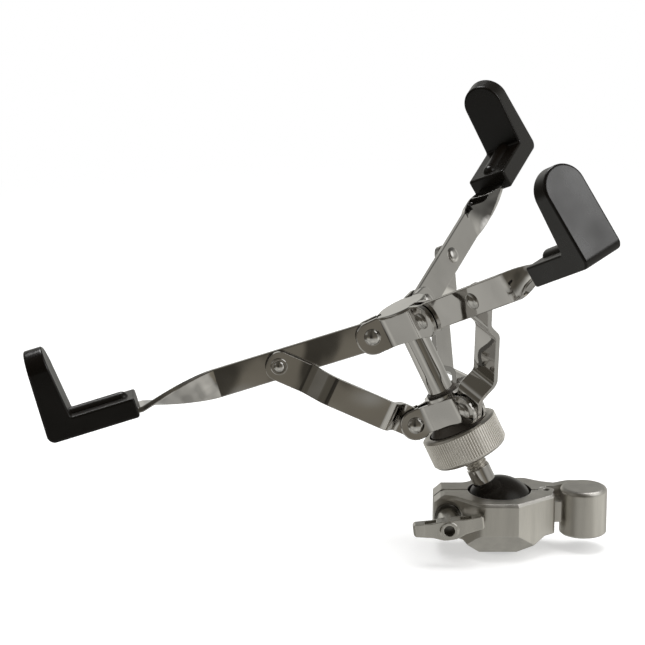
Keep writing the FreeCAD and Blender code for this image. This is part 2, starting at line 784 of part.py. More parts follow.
def dome_head(radius, rise, height):
    """Low domed rivet head, turned as a few cones, standing on a height."""
    bulge = (radius ** 2 + rise ** 2) / (2 * rise)
    spread = math.asin(radius / bulge)
    low = height + rise - bulge
    turns = [spread * (1 - step / dome_steps) for step in range(dome_steps)]
    rings = [(bulge * math.sin(turn), low + bulge * math.cos(turn)) for turn in turns]
    return revolved([(0, height)] + rings + [(0, rings[-1][1])])


def domed_rivet(span):
    """Rivet on the Z axis with a dome at each end of its span."""
    shank = cylinder(rivet_radius, -span / 2 - seat_gap, span / 2 + seat_gap)
    upper = dome_head(rivet_head_radius, rivet_head_height, span / 2 + seat_gap)
    lower = upper.mirror(nowhere, z_axis)
    return fused([shank, upper, lower])


def make_strut_rivet():
    """Rivet through arm and strut, domed on the arm's side and a small dome in a ring on the strut's side."""
    strut_back = half_thick + strut_spacer
    strut_face = strut_back + strut_thickness + seat_gap
    spacer = cylinder(spacer_radius, half_thick + seat_gap, strut_back - seat_gap)
    shank = cylinder(rivet_radius, -half_thick - seat_gap, strut_face)
    head = dome_head(rivet_head_radius, rivet_head_height, half_thick + seat_gap).mirror(nowhere, z_axis)
    ring_end = strut_face + ring_height
    ring = cylinder(ring_radius, strut_face, ring_end)
    ring = ring.makeChamfer(ring_break, edges_where(ring, lambda p: p.z > ring_end - seat_gap))
    dish_floor = ring_end - ring_dish
    ring = ring.cut(cylinder(ring_radius - ring_lip, dish_floor, ring_end + cut_overrun))
    small_dome = dome_head(small_dome_radius, small_dome_height, dish_floor - seat_gap)
    return fused([shank, head, spacer, ring, small_dome])


# Arms, grips and struts, built in their own frames

def strip_section(reach, angle):
    """Section of the flat strip at one reach, turned about the arm's line."""
    wide = half_strip
    thin = half_thick
    nick = strip_edge_break
    pairs = ((thin - nick, -wide), (thin, nick - wide), (thin, wide - nick), (thin - nick, wide),
             (nick - thin, wide), (-thin, wide - nick), (-thin, nick - wide), (nick - thin, -wide))
    turn = Rotation(x_axis, angle)
    points = [turn.multVec(Vector(0, across, up)) + Vector(reach, 0, 0) for across, up in pairs]
    return Part.makePolygon(points + points[:1])


def make_arm():
    """Flat strip arm with a rounded pivot end and a quarter twist before its grip."""
    corners = ((-half_strip, -half_strip), (twist_start, -half_strip), (twist_start, half_strip),
               (-half_strip, half_strip))
    round_end = half_strip - seat_gap
    flat = seen_from_front(extruded(corners, (round_end, 0, 0, round_end), -half_thick, half_thick))
    rim = edges_where(flat, lambda p: abs(p.y) > half_thick - seat_gap and p.x < twist_start - seat_gap)
    flat = flat.makeChamfer(strip_edge_break, rim)
    sections = []
    for step in range(twist_sections + 1):
        share = step / twist_sections
        reach = twist_start + (twist_end - twist_start) * share
        sections.append(strip_section(reach, twist_angle * share))
    twist = Part.makeLoft(sections, True, False)
    tail_end = strip_section(strip_end_reach, twist_angle)
    tail = Part.makeLoft([sections[-1], tail_end], True, True)
    arm = flat.multiFuse([twist, tail])
    hub_hole = cylinder(rivet_radius + running_clearance, -strip_width, strip_width)
    strut_hole = cylinder(rivet_radius + press_clearance, -strip_width, strip_width)
    across = Rotation(x_axis, 90)
    arm = arm.cut(placed(hub_hole, Placement(nowhere, across)))
    return arm.cut(placed(strut_hole, Placement(Vector(strut_pivot_reach, 0, 0), across)))


def make_grip():
    """Rubber grip: a leg sleeved on the strip, a bead along it and a tapered upright finger."""
    finger_foot = grip_outer_reach - finger_foot_thickness
    finger_back = grip_outer_reach - finger_draft
    finger_tip = finger_back - finger_tip_thickness
    corners = ((grip_inner_reach, leg_low), (grip_outer_reach, leg_low), (finger_back, finger_top),
               (finger_tip, finger_top), (finger_foot, leg_high), (grip_inner_reach, leg_high))
    radii = (0, grip_corner_round, 0, 0, grip_crook_round, 0)
    side = seen_from_front(extruded(corners, radii, -half_grip, half_grip))
    face = ((-half_grip, leg_low), (half_grip, leg_low), (half_grip, finger_top), (-half_grip, finger_top))
    arch = half_grip - seat_gap
    front = seen_from_side(extruded(face, (0, 0, arch, arch), 0, grip_outer_reach + cut_overrun))
    grip = side.common(front)
    crook_reach = grip_crook_round + seat_gap

    def outer_edge(p):
        beside = abs(p.x - finger_foot) < crook_reach
        level = leg_high - seat_gap < p.z < leg_high + grip_corner_round
        return not (beside and level and abs(p.y) < half_grip - seat_gap)

    grip = grip.makeFillet(grip_edge_round, edges_where(grip, outer_edge))
    bead_end = finger_foot + bead_lap
    bead_base = Vector(bead_start, 0, leg_high - bead_sink)
    bead = Part.makeCylinder(bead_radius, bead_end - bead_start, bead_base, x_axis)
    nose = Part.makeSphere(bead_radius, bead_base)
    under = block(Vector(0, -half_grip, -finger_top),
                  Vector(grip_outer_reach, half_grip, leg_high - grip_edge_round))
    grip = fused([grip, fused([bead, nose]).cut(under)])
    wide = half_strip + pocket_clearance
    thin = half_thick + pocket_clearance
    pocket = block(Vector(grip_inner_reach - cut_overrun, -wide, -thin),
                   Vector(strip_end_reach + sliding_gap, wide, thin))
    return grip.cut(pocket)


def make_strut():
    """Flat strut with two joggles, close on the arm at one end and loose in the collar at the other."""
    length = strut_run().Length
    near = half_thick + strut_spacer + strut_thickness / 2
    half_width = strut_width / 2
    last = length - strut_last_bend
    first = strut_first_bend + strut_first_rise
    line = ((-strut_end_reach, near), (strut_first_bend, near), (first, strut_mid_offset),
            (last, strut_mid_offset), (last + strut_last_fall, 0), (length + half_width, 0))
    bend_radii = (0, strut_first_radius, strut_first_radius, strut_last_radius, strut_last_radius, 0)
    corners, radii = strip_outline(line, strut_thickness, bend_radii)
    bent = extruded(corners, radii, -half_width, half_width)
    start = -strut_end_reach
    end = length + half_width
    face = ((start, -half_width), (end, -half_width), (end, half_width), (start, half_width))
    round_end = half_width - seat_gap
    radii = (strut_end_reach, round_end, round_end, strut_end_reach)
    outline = seen_from_front(extruded(face, radii, -boss_reach, boss_reach))
    strut = bent.common(outline)
    across = Rotation(x_axis, 90)
    arm_hole = cylinder(rivet_radius + running_clearance, -strip_width, strip_width)
    loose_hole = cylinder(strut_loose_radius, -half_width, half_width)
    strut = strut.cut(placed(arm_hole, Placement(nowhere, across)))
    return strut.cut(placed(loose_hole, Placement(Vector(length, 0, 0), across)))


def save(node, shape, placement):
    """Place one node in the shared frame and write it."""
    solid = placed(shape, placement)
    if solid.ShapeType != "Solid" and len(solid.Solids) == 1:
        solid = solid.Solids[0]
    print(node, solid.ShapeType, len(solid.Solids), solid.isValid(), round(solid.Volume))
    solid.exportStep("parts/" + node + ".step")


# Clamp nodes
save("clamp_body", make_clamp_body(), clamp_frame())
save("hinge_pin", make_hinge_pin(), clamp_frame())
save("clamp_bolt", make_clamp_bolt(), clamp_frame())
save("front_jaw", make_front_jaw(), clamp_frame())
save("wing_washer", make_wing_washer(), clamp_frame())
save("wing_nut", make_wing_nut(), clamp_frame())

# Ball, post, nut and collar nodes
save("ball", make_ball(), basket_frame())
save("ball_screw", make_ball_screw(), basket_frame())
save("centre_post", make_centre_post(), basket_frame())
save("top_hub", make_top_hub(), basket_frame())
save("adjusting_nut", make_adjusting_nut(), basket_frame())
save("slide_collar", make_slide_collar(), basket_frame())
save("collar_bush", make_collar_bush(), basket_frame())
save("thrust_washer", make_thrust_washer(), basket_frame())

# Arm nodes, one set for each arm
arm_shape = make_arm()
grip_shape = make_grip()
strut_shape = make_strut()
strut_rivet_shape = make_strut_rivet()
hub_rivet_shape = domed_rivet(hub_ear_gap + 2 * hub_sheet)
collar_rivet_shape = domed_rivet(collar_ear_gap + 2 * collar_sheet)
cross_turn = Rotation(x_axis, -90)
for arm_name, arm_azimuth in arm_azimuths:
    at_arm = arm_frame(arm_azimuth)
    spun_arm = basket_frame().multiply(Placement(nowhere, Rotation(z_axis, arm_azimuth)))
    collar_pivot = Placement(Vector(collar_pivot_radius, 0, collar_pivot_height), cross_turn)
    save("arm_" + arm_name, arm_shape, at_arm)
    save("grip_" + arm_name, grip_shape, at_arm)
    save("strut_" + arm_name, strut_shape, strut_frame(arm_azimuth))
    save("hub_rivet_" + arm_name, hub_rivet_shape, at_arm.multiply(Placement(nowhere, cross_turn)))
    strut_pivot = Placement(Vector(strut_pivot_reach, 0, 0), cross_turn)
    save("strut_rivet_" + arm_name, strut_rivet_shape, at_arm.multiply(strut_pivot))
    save("collar_rivet_" + arm_name, collar_rivet_shape, spun_arm.multiply(collar_pivot))
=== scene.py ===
"""Looks of a folding snare drum basket on its ball clamp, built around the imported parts."""

import json
import math

import bmesh
import bpy
from bpy.props import FloatProperty, FloatVectorProperty, IntProperty, PointerProperty
from bpy.types import Operator, Panel, PropertyGroup
from mathutils import Matrix, Vector


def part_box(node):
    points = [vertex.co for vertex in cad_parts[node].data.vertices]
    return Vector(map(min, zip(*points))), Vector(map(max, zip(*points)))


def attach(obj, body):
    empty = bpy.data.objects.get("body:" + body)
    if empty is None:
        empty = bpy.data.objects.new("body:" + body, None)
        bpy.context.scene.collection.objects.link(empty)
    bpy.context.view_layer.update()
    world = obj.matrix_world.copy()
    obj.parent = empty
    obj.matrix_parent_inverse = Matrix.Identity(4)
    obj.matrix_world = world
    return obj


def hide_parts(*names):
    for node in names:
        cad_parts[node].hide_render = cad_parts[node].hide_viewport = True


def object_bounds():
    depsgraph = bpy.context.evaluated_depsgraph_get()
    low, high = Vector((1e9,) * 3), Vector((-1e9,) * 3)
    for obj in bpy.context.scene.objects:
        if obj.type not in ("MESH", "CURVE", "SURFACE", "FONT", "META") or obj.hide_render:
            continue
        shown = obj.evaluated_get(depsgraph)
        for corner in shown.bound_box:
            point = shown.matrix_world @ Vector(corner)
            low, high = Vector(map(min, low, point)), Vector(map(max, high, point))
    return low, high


bl_info = {
    "name": "Snare drum basket",
    "version": (1, 0, 0),
    "blender": (4, 5, 0),
    "location": "View3D > Sidebar > Basket",
    "description": "Dresses the folding drum basket and its ball clamp",
    "category": "Object",
}

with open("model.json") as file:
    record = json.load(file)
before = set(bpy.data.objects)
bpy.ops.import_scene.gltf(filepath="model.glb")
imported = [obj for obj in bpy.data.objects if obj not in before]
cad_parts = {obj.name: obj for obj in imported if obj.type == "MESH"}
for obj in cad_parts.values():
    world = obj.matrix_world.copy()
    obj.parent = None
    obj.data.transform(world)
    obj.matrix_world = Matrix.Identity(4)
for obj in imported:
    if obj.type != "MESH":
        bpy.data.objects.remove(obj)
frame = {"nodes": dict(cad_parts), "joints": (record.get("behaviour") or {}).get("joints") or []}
cad_low, cad_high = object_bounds()
nodes = frame["nodes"]
joints = {joint["name"]: joint for joint in frame["joints"]}
millimetre = 0.001
arm_sides = ("left", "right", "back")

# Sizes of the post and the nut, with heights from the ball's centre

spigot_radius = 4.5 * millimetre
foot_radius = 6.4 * millimetre
thread_radius = 6.0 * millimetre
tube_radius = 7.0 * millimetre
tube_edge = 0.8 * millimetre
thread_lead = 0.4 * millimetre
shoulder_height = 19.45 * millimetre
foot_top = 28.6 * millimetre
thread_end = 66.0 * millimetre
thread_crest_share = 0.12
thread_flank_share = 0.7
nut_rim_radius = 21.0 * millimetre
nut_foot_round = 2.2 * millimetre
nut_top_break = 1.0 * millimetre

# Fineness of the meshes

post_segments = 64
rings_per_turn = 10
dome_segments = 40
dome_rings = 24
rib_sides = 10
post_crease = math.radians(35)
rib_crease = math.radians(50)

# Places of the colour sockets among a Mix node's inputs and outputs

mix_first = 6
mix_second = 7
mix_result = 2


# Places read from the frame

def joint_place(name):
    """Point on a joint's axis, in the row frame."""
    return Vector(joints[name]["pos_m"])


def joint_axis(name):
    """Direction of a joint's axis, in the row frame."""
    return Vector(joints[name]["axis"]).normalized()


def node_centre(node):
    """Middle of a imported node's box."""
    low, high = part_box(node)
    return (low + high) / 2


def span_along(node, origin, axis):
    """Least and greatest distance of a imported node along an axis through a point."""
    reaches = [(vertex.co - origin).dot(axis) for vertex in nodes[node].data.vertices]
    return min(reaches), max(reaches)


def span_on_post(node):
    """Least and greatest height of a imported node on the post, from the ball's centre."""
    return span_along(node, joint_place("ball_tilt"), joint_axis("post_spin"))


def arm_face(side):
    """Direction square to the flat of one arm, on the side where its strut lies."""
    return -joint_axis(side + "_arm_swing")


def post_frame():
    """Frame of the post at the ball's centre, with Z up the post and X towards the left arm."""
    axis = joint_axis("post_spin")
    outward = joint_place("left_arm_swing") - joint_place("ball_tilt")
    outward -= axis * outward.dot(axis)
    outward.normalize()
    turn = Matrix((outward, axis.cross(outward), axis)).transposed()
    return Matrix.Translation(joint_place("ball_tilt")) @ turn.to_4x4()


# Settings

class BasketSizes(PropertyGroup):
    """Sizes of the domes, the ribs and the thread"""
    rivet_radius: FloatProperty(name="Rivet head radius", description="Radius of a rivet's domed head",
                                default=4.65 * millimetre, unit="LENGTH")
    rivet_height: FloatProperty(name="Rivet head height", description="Height of a packed rivet's head",
                                default=2.03 * millimetre, unit="LENGTH")
    small_radius: FloatProperty(name="Small dome radius",
                                description="Radius of the dome in a strut rivet's ring",
                                default=3.05 * millimetre, unit="LENGTH")
    small_height: FloatProperty(name="Small dome height", description="Height of the packed head in the ring",
                                default=1.32 * millimetre, unit="LENGTH")
    dome_share: FloatProperty(name="Dome share",
                              description="Height of a smooth dome, as a share of its packed head",
                              default=1.11)
    rib_count: IntProperty(name="Ribs", description="Ribs round the adjusting nut", default=88)
    rib_radius: FloatProperty(name="Rib radius", description="Radius of one rib's rounded crest",
                              default=0.55 * millimetre, unit="LENGTH")
    rib_height: FloatProperty(name="Rib height", description="How far a rib stands out of the nut's rim",
                              default=0.4 * millimetre, unit="LENGTH")
    thread_pitch: FloatProperty(name="Thread pitch", description="Rise of the post's thread in one turn",
                                default=1.75 * millimetre, unit="LENGTH")
    thread_depth: FloatProperty(name="Thread depth", description="Depth of the post's thread",
                                default=0.95 * millimetre, unit="LENGTH")


class BasketFinishes(PropertyGroup):
    """Colours of the plate, the castings and the mouldings"""
    chrome: FloatVectorProperty(name="Chrome", description="Colour of the chrome plate", subtype="COLOR",
                                default=(0.62, 0.605, 0.585), min=0, max=1)
    satin: FloatVectorProperty(name="Satin chrome",
                               description="Colour of the satin plate on the nut and in the thread",
                               subtype="COLOR", default=(0.78, 0.75, 0.7), min=0, max=1)
    # Darkened far down, this colour also gives the painted shade on the clamp's pin, bolt and washer
    cast: FloatVectorProperty(name="Casting",
                              description="Colour of the castings and, darker, of the small steel pieces",
                              subtype="COLOR", default=(0.67, 0.65, 0.61), min=0, max=1)
    rubber: FloatVectorProperty(name="Rubber", description="Colour of the grips", subtype="COLOR",
                                default=(0.0026, 0.0019, 0.0013), min=0, max=1)
    resin: FloatVectorProperty(name="Resin", description="Colour of the ball and the bush", subtype="COLOR",
                               default=(0.008, 0.0068, 0.0055), min=0, max=1)


class BasketStudio(PropertyGroup):
    """Place of the camera and of the ball in the picture"""
    distance: FloatProperty(name="Camera distance", description="From the camera to the ball",
                            default=1.615, unit="LENGTH")
    elevation: FloatProperty(name="Camera elevation", description="Angle of the camera above level",
                             default=0.27, subtype="ANGLE")
    image_side: FloatProperty(name="Image side", description="Side of the square picture in pixels",
                              default=645.0, subtype="PIXEL")
    ball_column: FloatProperty(name="Ball column", description="Pixel column of the ball's centre",
                               default=499.1, subtype="PIXEL")
    ball_row: FloatProperty(name="Ball row", description="Pixel row of the ball's centre",
                            default=511.6, subtype="PIXEL")
    pixels_per_metre: FloatProperty(name="Pixels per metre", description="Picture scale at the ball",
                                    default=1815.0)


def sizes():
    """Sizes that a user can change."""
    return bpy.context.scene.basket_sizes


def finishes():
    """Colours that a user can change."""
    return bpy.context.scene.basket_finishes


# Shader building

def add_node(tree, kind, **settings):
    """New node in a tree with its plain settings."""
    node = tree.nodes.new(kind)
    for name, value in settings.items():
        setattr(node, name, value)
    return node


def group_with(name, inputs, outputs):
    """Empty shader group with named float, vector or colour sockets."""
    group = bpy.data.node_groups.new(name, "ShaderNodeTree")
    for label, kind, default in inputs:
        socket = group.interface.new_socket(label, in_out="INPUT", socket_type=kind)
        if default is not None:
            socket.default_value = default
    for label, kind in outputs:
        group.interface.new_socket(label, in_out="OUTPUT", socket_type=kind)
    return group, add_node(group, "NodeGroupInput"), add_node(group, "NodeGroupOutput")


def handled_group():
    """Masks of handled plate: large soft smears, fine hairlines and the slow waves of rolled sheet."""
    found = bpy.data.node_groups.get("Handled plate")
    if found:
        return found
    group, entry, leave = group_with(
        "Handled plate",
        (("Vector", "NodeSocketVector", None), ("Patch scale", "NodeSocketFloat", 60.0),
         ("Hairline scale", "NodeSocketFloat", 900.0)),
        (("Smear", "NodeSocketFloat"), ("Hairline", "NodeSocketFloat"), ("Roll", "NodeSocketFloat")))
    patch = add_node(group, "ShaderNodeTexNoise")
    patch.inputs["Detail"].default_value = 3.0
    group.links.new(entry.outputs["Vector"], patch.inputs["Vector"])
    group.links.new(entry.outputs["Patch scale"], patch.inputs["Scale"])
    spread = add_node(group, "ShaderNodeMapRange", interpolation_type="SMOOTHSTEP")
    spread.inputs["From Min"].default_value = 0.42
    spread.inputs["From Max"].default_value = 0.72
    group.links.new(patch.outputs["Fac"], spread.inputs["Value"])
    group.links.new(spread.outputs["Result"], leave.inputs["Smear"])
    hair = add_node(group, "ShaderNodeTexNoise")
    hair.inputs["Detail"].default_value = 4.0
    group.links.new(entry.outputs["Vector"], hair.inputs["Vector"])
    group.links.new(entry.outputs["Hairline scale"], hair.inputs["Scale"])
    group.links.new(hair.outputs["Fac"], leave.inputs["Hairline"])
    roll = add_node(group, "ShaderNodeTexNoise")
    roll.inputs["Scale"].default_value = 28.0
    roll.inputs["Detail"].default_value = 1.0
    group.links.new(entry.outputs["Vector"], roll.inputs["Vector"])
    group.links.new(roll.outputs["Fac"], leave.inputs["Roll"])
    return group


def skin_group():
    """Grain of a casting or a moulding: pitted fine noise over a slow undulation."""
    found = bpy.data.node_groups.get("Moulded skin")
    if found:
        return found
    grain_share = 0.35
    group, entry, leave = group_with(
        "Moulded skin",
        (("Vector", "NodeSocketVector", None), ("Grain scale", "NodeSocketFloat", 1500.0),
         ("Wave scale", "NodeSocketFloat", 90.0)),
        (("Height", "NodeSocketFloat"), ("Wave", "NodeSocketFloat")))
    grain = add_node(group, "ShaderNodeTexNoise")
    grain.inputs["Detail"].default_value = 6.0
    grain.inputs["Roughness"].default_value = 0.62
    group.links.new(entry.outputs["Vector"], grain.inputs["Vector"])
    group.links.new(entry.outputs["Grain scale"], grain.inputs["Scale"])
    wave = add_node(group, "ShaderNodeTexNoise")
    wave.inputs["Detail"].default_value = 2.0
    group.links.new(entry.outputs["Vector"], wave.inputs["Vector"])
    group.links.new(entry.outputs["Wave scale"], wave.inputs["Scale"])
    mixed = add_node(group, "ShaderNodeMath", operation="MULTIPLY_ADD")
    mixed.inputs[1].default_value = grain_share
    group.links.new(grain.outputs["Fac"], mixed.inputs[0])
    group.links.new(wave.outputs["Fac"], mixed.inputs[2])
    group.links.new(mixed.outputs["Value"], leave.inputs["Height"])
    group.links.new(wave.outputs["Fac"], leave.inputs["Wave"])
    return group


def worn_highlight_group():
    """Mask of outside and inside edges, where a plated casting is rubbed bright and where its colour is
    lightened as a painted highlight.
    """
    found = bpy.data.node_groups.get("Worn edges")
    if found:
        return found
    group, entry, leave = group_with(
        "Worn edges", (("Vector", "NodeSocketVector", None), ("Width", "NodeSocketFloat", 0.4 * millimetre)),
        (("Edge", "NodeSocketFloat"),))
    eased = add_node(group, "ShaderNodeBevel", samples=6)
    group.links.new(entry.outputs["Width"], eased.inputs["Radius"])
    surface = add_node(group, "ShaderNodeNewGeometry")
    likeness = add_node(group, "ShaderNodeVectorMath", operation="DOT_PRODUCT")
    group.links.new(eased.outputs["Normal"], likeness.inputs[0])
    group.links.new(surface.outputs["Normal"], likeness.inputs[1])
    patch = add_node(group, "ShaderNodeTexNoise")
    patch.inputs["Scale"].default_value = 240.0
    group.links.new(entry.outputs["Vector"], patch.inputs["Vector"])
    edge = add_node(group, "ShaderNodeMapRange")
    edge.inputs["From Min"].default_value = 0.995
    edge.inputs["From Max"].default_value = 0.9
    group.links.new(likeness.outputs["Value"], edge.inputs["Value"])
    broken = add_node(group, "ShaderNodeMath", operation="MULTIPLY")
    group.links.new(edge.outputs["Result"], broken.inputs[0])
    group.links.new(patch.outputs["Fac"], broken.inputs[1])
    group.links.new(broken.outputs["Value"], leave.inputs["Edge"])
    return group


def new_material(name):
    """Material with an empty tree, a Principled shader and its output."""
    material = bpy.data.materials.new(name)
    material.use_nodes = True
    tree = material.node_tree
    tree.nodes.clear()
    shader = add_node(tree, "ShaderNodeBsdfPrincipled")
    output = add_node(tree, "ShaderNodeOutputMaterial")
    tree.links.new(shader.outputs["BSDF"], output.inputs["Surface"])
    coordinates = add_node(tree, "ShaderNodeTexCoord")
    return material, tree, shader, coordinates.outputs["Object"]


def placed_group(tree, group, vector, **values):
    """One use of a shader group in a material, with its own values."""
    use = add_node(tree, "ShaderNodeGroup")
    use.node_tree = group
    tree.links.new(vector, use.inputs["Vector"])
    for label, value in values.items():
        use.inputs[label.replace("_", " ")].default_value = value
    return use


def spread_value(tree, source, low, high):
    """A value between two limits, driven by a mask."""
    ramp = add_node(tree, "ShaderNodeMapRange")
    ramp.inputs["To Min"].default_value = low
    ramp.inputs["To Max"].default_value = high
    tree.links.new(source, ramp.inputs["Value"])
    return ramp.outputs["Result"]


def mixed_colour(tree, mask, low, high):
    """A colour between two colours or colour outputs, driven by a mask."""
    mix = add_node(tree, "ShaderNodeMix", data_type="RGBA")
    for socket, colour in ((mix.inputs[mix_first], low), (mix.inputs[mix_second], high)):
        if isinstance(colour, tuple):
            socket.default_value = (*colour, 1.0)
        else:
            tree.links.new(colour, socket)
    tree.links.new(mask, mix.inputs["Factor"])
    return mix.outputs[mix_result]


def shaded(colour, share):
    """A colour darkened or lightened by one share."""
    return tuple(min(1.0, channel * share) for channel in colour)


def grey(level):
    """A colour with no tint."""
    return level, level, level


def bump_into(tree, shader, height, strength, distance):
    """A bump on a shader's normal."""
    bump = add_node(tree, "ShaderNodeBump")
    bump.inputs["Strength"].default_value = strength
    bump.inputs["Distance"].default_value = distance
    tree.links.new(height, bump.inputs["Height"])
    tree.links.new(bump.outputs["Normal"], shader.inputs["Normal"])
    return bump


def plated_metal(name, colour, smooth, smeared, patch_scale, hairline_depth,
                 roll_depth=0.1 * millimetre, edge_round=0.2 * millimetre):
    """Bright plate dulled in soft smears, with fine hairlines, slow waves and eased edges."""
    found = bpy.data.materials.get(name)
    if found:
        return found
    smeared_share = 0.93
    roll_strength = 1.0
    hairline_strength = 0.25
    material, tree, shader, place = new_material(name)
    handled = placed_group(tree, handled_group(), place, Patch_scale=patch_scale)
    shader.inputs["Metallic"].default_value = 1.0
    tree.links.new(mixed_colour(tree, handled.outputs["Smear"], colour, shaded(colour, smeared_share)),
                   shader.inputs["Base Color"])
    tree.links.new(spread_value(tree, handled.outputs["Smear"], smooth, smeared), shader.inputs["Roughness"])
    eased = add_node(tree, "ShaderNodeBevel", samples=4)
    eased.inputs["Radius"].default_value = edge_round
    wavy = bump_into(tree, shader, handled.outputs["Roll"], roll_strength, roll_depth)
    tree.links.new(eased.outputs["Normal"], wavy.inputs["Normal"])
    hairs = bump_into(tree, shader, handled.outputs["Hairline"], hairline_strength, hairline_depth)
    tree.links.new(wavy.outputs["Normal"], hairs.inputs["Normal"])
    return material


def cast_metal(name, colour, smooth, rough, grain_depth, edge_round):
    """Plated casting: satin gloss with upright brushing and eased edges, over the grain of the cast skin; its
    edges are lightened in colour, partly as wear and partly as a painted highlight.
    """
    found = bpy.data.materials.get(name)
    if found:
        return found
    brush_scale = (1.0, 1.0, 0.12)
    dark_share = 0.72
    light_share = 1.13
    # Lightening of the edges' colour: partly rubbed wear, partly a painted highlight
    worn_highlight_share = 1.75
    worn_highlight_width = 0.7 * millimetre
    grain_strength = 0.6
    material, tree, shader, place = new_material(name)
    brushed = add_node(tree, "ShaderNodeMapping")
    brushed.inputs["Scale"].default_value = brush_scale
    tree.links.new(place, brushed.inputs["Vector"])
    skin = placed_group(tree, skin_group(), brushed.outputs["Vector"], Grain_scale=1400.0, Wave_scale=160.0)
    worn_highlight = placed_group(tree, worn_highlight_group(), place, Width=worn_highlight_width)
    shader.inputs["Metallic"].default_value = 1.0
    plate = mixed_colour(tree, skin.outputs["Height"], shaded(colour, dark_share),
                         shaded(colour, light_share))
    # Edges lightened in colour: partly rubbed wear, partly a painted highlight of edges catching the light
    tree.links.new(mixed_colour(tree, worn_highlight.outputs["Edge"], plate, shaded(colour, worn_highlight_share)),
                   shader.inputs["Base Color"])
    tree.links.new(spread_value(tree, skin.outputs["Wave"], smooth, rough), shader.inputs["Roughness"])
    eased = add_node(tree, "ShaderNodeBevel", samples=6)
    eased.inputs["Radius"].default_value = edge_round
    grain = bump_into(tree, shader, skin.outputs["Height"], grain_strength, grain_depth)
    tree.links.new(eased.outputs["Normal"], grain.inputs["Normal"])
    return material


def black_moulding(name, colour, smooth, rough, grain_scale, grain_depth, shine):
    """Black moulding: slow changes of gloss over a fine moulded skin."""
    found = bpy.data.materials.get(name)
    if found:
        return found
    dark_share = 0.6
    light_share = 1.4
    grain_strength = 0.3
    material, tree, shader, place = new_material(name)
    skin = placed_group(tree, skin_group(), place, Grain_scale=grain_scale, Wave_scale=45.0)
    moulded = mixed_colour(tree, skin.outputs["Wave"], shaded(colour, dark_share),
                           shaded(colour, light_share))
    tree.links.new(moulded, shader.inputs["Base Color"])
    tree.links.new(spread_value(tree, skin.outputs["Wave"], smooth, rough), shader.inputs["Roughness"])
    shader.inputs["Specular IOR Level"].default_value = shine
    bump_into(tree, shader, skin.outputs["Height"], grain_strength, grain_depth)
    return material


def chrome_plate():
    """Mirror chrome of the strips, the stampings and the post."""
    return plated_metal("chrome_plate", tuple(finishes().chrome), smooth=0.03, smeared=0.09, patch_scale=55.0,
                        hairline_depth=0.004 * millimetre, roll_depth=0.9 * millimetre,
                        edge_round=0.5 * millimetre)


def rivet_plate():
    """Polished chrome of the rivets."""
    return plated_metal("rivet_plate", tuple(finishes().chrome), smooth=0.04, smeared=0.1, patch_scale=160.0,
                        hairline_depth=0.004 * millimetre)


def satin_plate():
    """Satin chrome of the nut's cup and foot."""
    return plated_metal("satin_plate", shaded(finishes().satin, share=0.84), smooth=0.3, smeared=0.4,
                        patch_scale=120.0, hairline_depth=0.02 * millimetre)


def rib_plate():
    """Brighter satin chrome of the nut's ribs."""
    return plated_metal("rib_plate", tuple(finishes().satin), smooth=0.2, smeared=0.28, patch_scale=120.0,
                        hairline_depth=0.01 * millimetre)


def bolt_steel():
    """Plated steel of the ball's screw and the thrust washer."""
    return plated_metal("bolt_steel", shaded(finishes().cast, share=0.7), smooth=0.22, smeared=0.34,
                        patch_scale=140.0, hairline_depth=0.01 * millimetre)


def shade_darkened_steel():
    """Steel of the clamp's bolt, pin and washer, darkened in colour as painted shade of the recesses they sit
    in.
    """
    return plated_metal("shade_darkened_steel", shaded(finishes().cast, share=0.28), smooth=0.26, smeared=0.4,
                        patch_scale=140.0, hairline_depth=0.01 * millimetre)


def thread_steel():
    """Duller plate in the post's thread."""
    return plated_metal("thread_steel", shaded(finishes().satin, share=0.85), smooth=0.24, smeared=0.36,
                        patch_scale=200.0, hairline_depth=0.01 * millimetre)


def clamp_casting():
    """Satin casting of the clamp's jaws."""
    return cast_metal("clamp_casting", tuple(finishes().cast), smooth=0.32, rough=0.42,
                      grain_depth=0.05 * millimetre, edge_round=0.9 * millimetre)


def wing_casting():
    """Brighter casting of the wing nut."""
    return cast_metal("wing_casting", shaded(finishes().cast, share=0.84), smooth=0.16, rough=0.28,
                      grain_depth=0.04 * millimetre, edge_round=0.5 * millimetre)


def grip_rubber():
    """Semi-gloss black rubber of the grips."""
    return black_moulding("grip_rubber", tuple(finishes().rubber), smooth=0.16, rough=0.42,
                          grain_scale=1800.0, grain_depth=0.04 * millimetre, shine=0.34)


def ball_resin():
    """Glossy black resin of the ball."""
    return black_moulding("ball_resin", tuple(finishes().resin), smooth=0.14, rough=0.26,
                          grain_scale=900.0, grain_depth=0.01 * millimetre, shine=0.22)


def bush_plastic():
    """Black plastic of the collar's bush, paler than the ball."""
    return black_moulding("bush_plastic", shaded(finishes().resin, share=5.0), smooth=0.3, rough=0.42,
                          grain_scale=1200.0, grain_depth=0.03 * millimetre, shine=0.5)


def finish_node(node, material):
    """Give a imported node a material, with its mesh left as it is."""
    mesh = nodes[node].data
    mesh.materials.clear()
    mesh.materials.append(material)


# Mesh building

def mesh_piece(name, mesh, body):
    """Object for a finished mesh, riding on a body."""
    piece = bpy.data.objects.new(name, mesh)
    bpy.context.scene.collection.objects.link(piece)
    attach(piece, body)
    return piece


def grown_mesh(name, source, tree, inputs):
    """Plain mesh grown from a source mesh by a Geometry Nodes tree."""
    holder = bpy.data.objects.new(name + "_holder", source)
    bpy.context.scene.collection.objects.link(holder)
    modifier = holder.modifiers.new(name, "NODES")
    modifier.node_group = tree
    for label, value in inputs.items():
        socket = next(item for item in tree.interface.items_tree
                      if item.name == label and item.in_out == "INPUT")
        modifier[socket.identifier] = value
    grown = holder.evaluated_get(bpy.context.evaluated_depsgraph_get())
    mesh = bpy.data.meshes.new_from_object(grown)
    mesh.name = name
    bpy.data.objects.remove(holder)
    return mesh


